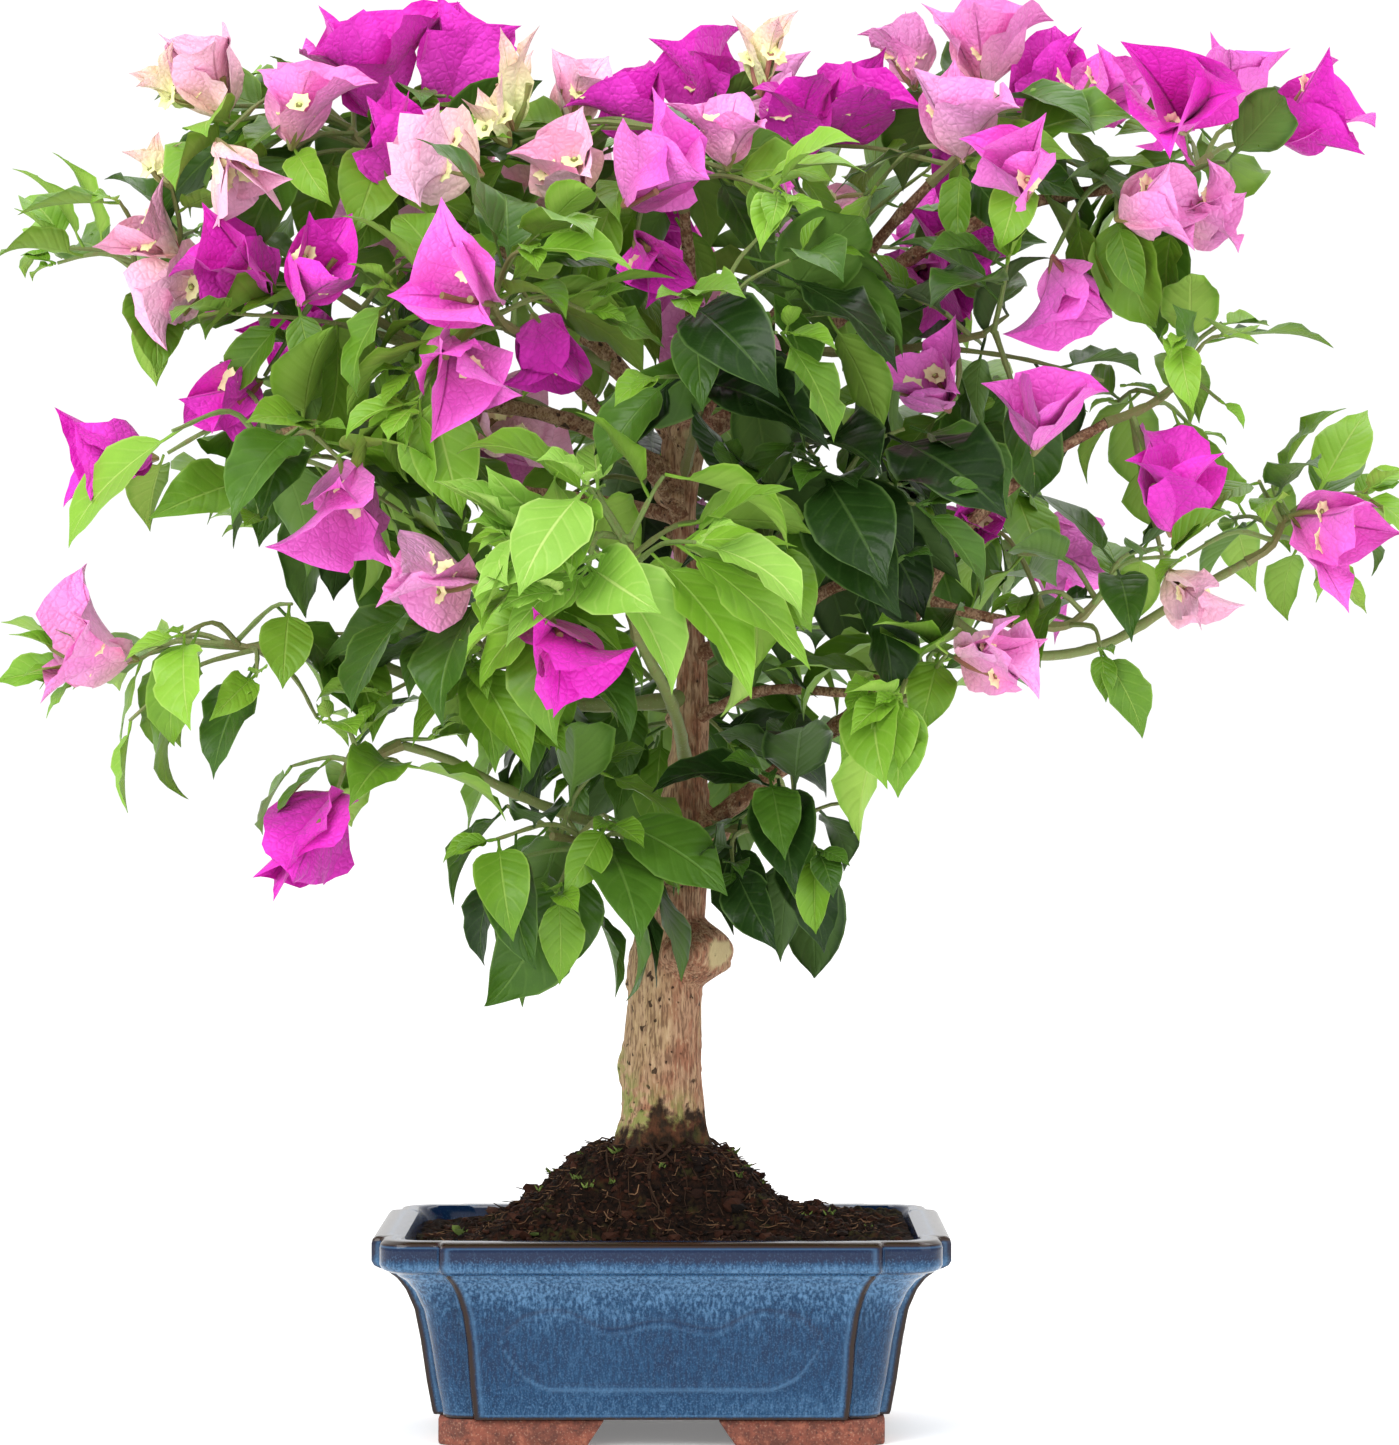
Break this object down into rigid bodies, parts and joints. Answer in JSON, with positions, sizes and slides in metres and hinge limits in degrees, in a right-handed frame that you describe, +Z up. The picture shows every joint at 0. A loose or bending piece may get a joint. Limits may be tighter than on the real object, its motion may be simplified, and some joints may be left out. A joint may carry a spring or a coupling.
{
  "type": "bougainvillea bonsai tree in a glazed rectangular pot",
  "caption": "Bougainvillea trained as a bonsai tree with magenta bracts, in a blue-glazed rectangular pot with notched corners and bare clay feet.",
  "frame": {"origin": "middle of the footprint of the whole plant and pot, on the ground plane under the feet", "axes": "+Z up along the trunk, +X along the pot's long side to the right in the front view, and +Y away from the viewer"},
  "size_m": [0.501, 0.3172, 0.5074],
  "materials": {
    "glaze": "deep mottled blue glaze that thins to brown on the edges",
    "clay": "bare fired red-brown clay",
    "soil": "dark fibrous peat with moss",
    "bark": "fissured tan bark",
    "leaves": "satin green leaves",
    "blossom": "papery magenta bracts"
  },
  "bodies": {
    "root": {"bough_back_left": "bark", "bough_back_mid": "bark", "bough_back_right": "bark", "bough_back_top_left": "bark", "bough_back_top_right": "bark", "bough_far_left": "bark", "bough_far_right": "bark", "bough_front": "bark", "bough_left_low": "bark", "bough_left_out": "bark", "bough_low_bloom": "bark", "bough_right_low": "bark", "bough_right_lower": "bark", "bough_right_shoot": "bark", "bough_right_top": "bark", "bough_star": "bark", "bough_top_left": "bark", "bough_top_mid": "bark", "bough_top_right": "bark", "foliage_back_left": "leaves", "foliage_back_low": "leaves", "foliage_back_mid": "leaves", "foliage_back_right": "leaves", "foliage_back_top_left": "blossom", "foliage_back_top_right": "blossom", "foliage_bottom_left": "leaves", "foliage_bottom_right": "leaves", "foliage_core": "leaves", "foliage_crest": "blossom", "foliage_far_left": "leaves", "foliage_far_right": "leaves", "foliage_front": "leaves", "foliage_high_front": "leaves", "foliage_left_bloom": "blossom", "foliage_left_low": "leaves", "foliage_left_out": "blossom", "foliage_left_star": "blossom", "foliage_low_bloom": "leaves", "foliage_mid_left": "leaves", "foliage_right_low": "leaves", "foliage_right_lower": "leaves", "foliage_right_mid": "leaves", "foliage_right_shoot": "leaves", "foliage_right_top": "blossom", "foliage_top_left": "blossom", "foliage_top_right": "blossom", "foot_back_left": "clay", "foot_back_right": "clay", "foot_front_left": "clay", "foot_front_right": "clay", "pot": "glaze", "soil": "soil", "trunk": "bark"}
  },
  "joints": []
}
